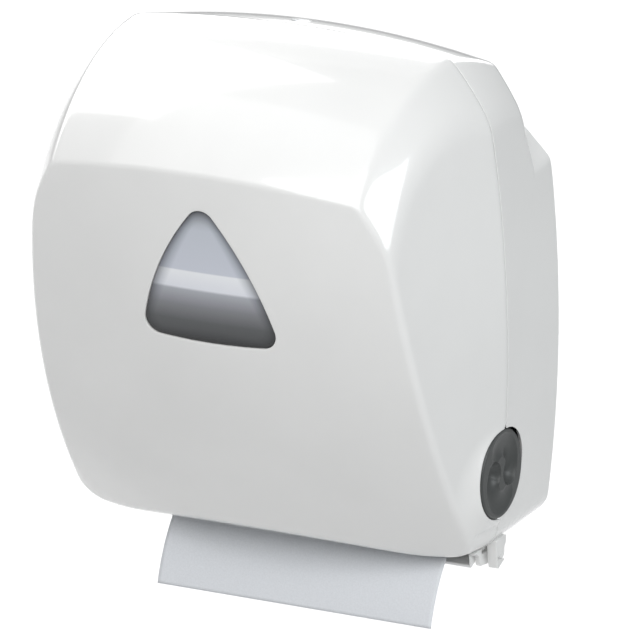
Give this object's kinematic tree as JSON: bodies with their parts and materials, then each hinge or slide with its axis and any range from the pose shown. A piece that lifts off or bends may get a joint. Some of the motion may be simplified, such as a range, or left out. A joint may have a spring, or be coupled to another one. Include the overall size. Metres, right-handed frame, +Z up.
{
  "type": "autocut towel dispenser",
  "caption": "Wall-hung paper towel dispenser with a domed drop-front cover, smoked window, roll arms, feed drum with a swinging cutter, and a side feed knob.",
  "frame": {"origin": "centre of the four wall-screw holes, on the back face that rests against the wall", "axes": "+Z up, +Y towards the wall, -Y towards the user, +X to the side with the feed knob"},
  "size_m": [0.3218, 0.2273, 0.398],
  "materials": {
    "white_gloss": "polished moulding",
    "white_satin": "satin moulding",
    "smoked_window": "clear smoked moulding",
    "charcoal": "fine satin moulding",
    "steel": "bright zinc plated",
    "nylon": "natural nylon",
    "rubber": "matt rubber",
    "towel_paper": "soft embossed tissue",
    "core_board": "spiral-wound board"
  },
  "bodies": {
    "rear_case": {"rear_case": "white_gloss", "exit_chute": "white_gloss", "left_side_plate": "steel", "right_side_plate": "steel", "tie_rods": "steel", "paper_guide": "white_satin", "left_roll_arm": "white_satin", "right_roll_arm": "white_satin", "drum_bushes": "nylon", "pinch_bushes": "nylon", "cam_plate": "nylon", "return_spring": "steel", "spring_anchor": "steel", "hinge_pins": "steel", "chassis_screws": "steel", "towel_tail": "towel_paper", "paper_web": "towel_paper", "plunger_spring": "steel"},
    "cover": {"front_cover": "white_gloss", "window_pane": "smoked_window", "window_retainer": "charcoal", "cover_catch": "white_satin"},
    "lock": {"lock_barrel": "steel", "lock_tongue": "steel"},
    "drum": {"drum_shell": "white_satin", "drum_left_end": "white_satin", "drum_right_end": "white_satin", "drum_shaft": "steel", "grip_bands": "rubber", "crank_arm": "steel", "crank_pin": "steel", "feed_knob": "charcoal"},
    "cutter": {"blade_carrier": "nylon", "cutter_blade": "steel", "cam_roller": "nylon"},
    "pinch_roller": {"pinch_shaft": "steel", "pinch_sleeves": "rubber"},
    "roll": {"paper_roll": "towel_paper", "roll_core": "core_board"},
    "plunger": {"roll_plunger": "white_satin", "plunger_knob": "charcoal"}
  },
  "joints": [
    {"name": "cover_hinge", "type": "hinge", "parent": "rear_case", "child": "cover", "pos_m": [0, -0.062, -0.18], "axis": [1, 0, 0], "range_deg": [0, 95], "deforming": ["towel_tail"]},
    {"name": "lock_turn", "type": "hinge", "parent": "rear_case", "child": "lock", "pos_m": [0, -0.07, 0.16], "axis": [0, 0, -1], "range_deg": [0, 90]},
    {"name": "drum_spin", "type": "hinge", "parent": "rear_case", "child": "drum", "pos_m": [0, -0.085, -0.1147], "axis": [1, 0, 0], "continuous": true, "deforming": ["return_spring"]},
    {"name": "cutter_swing", "type": "hinge", "parent": "drum", "child": "cutter", "pos_m": [0, -0.11187, -0.11046], "axis": [-1, 0, 0], "range_deg": [0, 28], "stiffness_Nm_per_rad": 0.02, "springref_deg": -14.32},
    {"name": "pinch_spin", "type": "hinge", "parent": "rear_case", "child": "pinch_roller", "pos_m": [0, -0.0394, -0.1147], "axis": [1, 0, 0], "continuous": true},
    {"name": "roll_spin", "type": "hinge", "parent": "rear_case", "child": "roll", "pos_m": [0, -0.112, 0.048], "axis": [1, 0, 0], "continuous": true},
    {"name": "plunger_slide", "type": "slide", "parent": "rear_case", "child": "plunger", "axis": [-1, 0, 0], "range_m": [0, 0.012], "stiffness_N_per_m": 300, "springref_m": -0.01, "deforming": ["plunger_spring"]}
  ],
  "couplings": [
    {"joint": "pinch_spin", "follows": "drum_spin", "ratio": -4.6625},
    {"joint": "roll_spin", "follows": "drum_spin", "ratio": 0.46625}
  ]
}
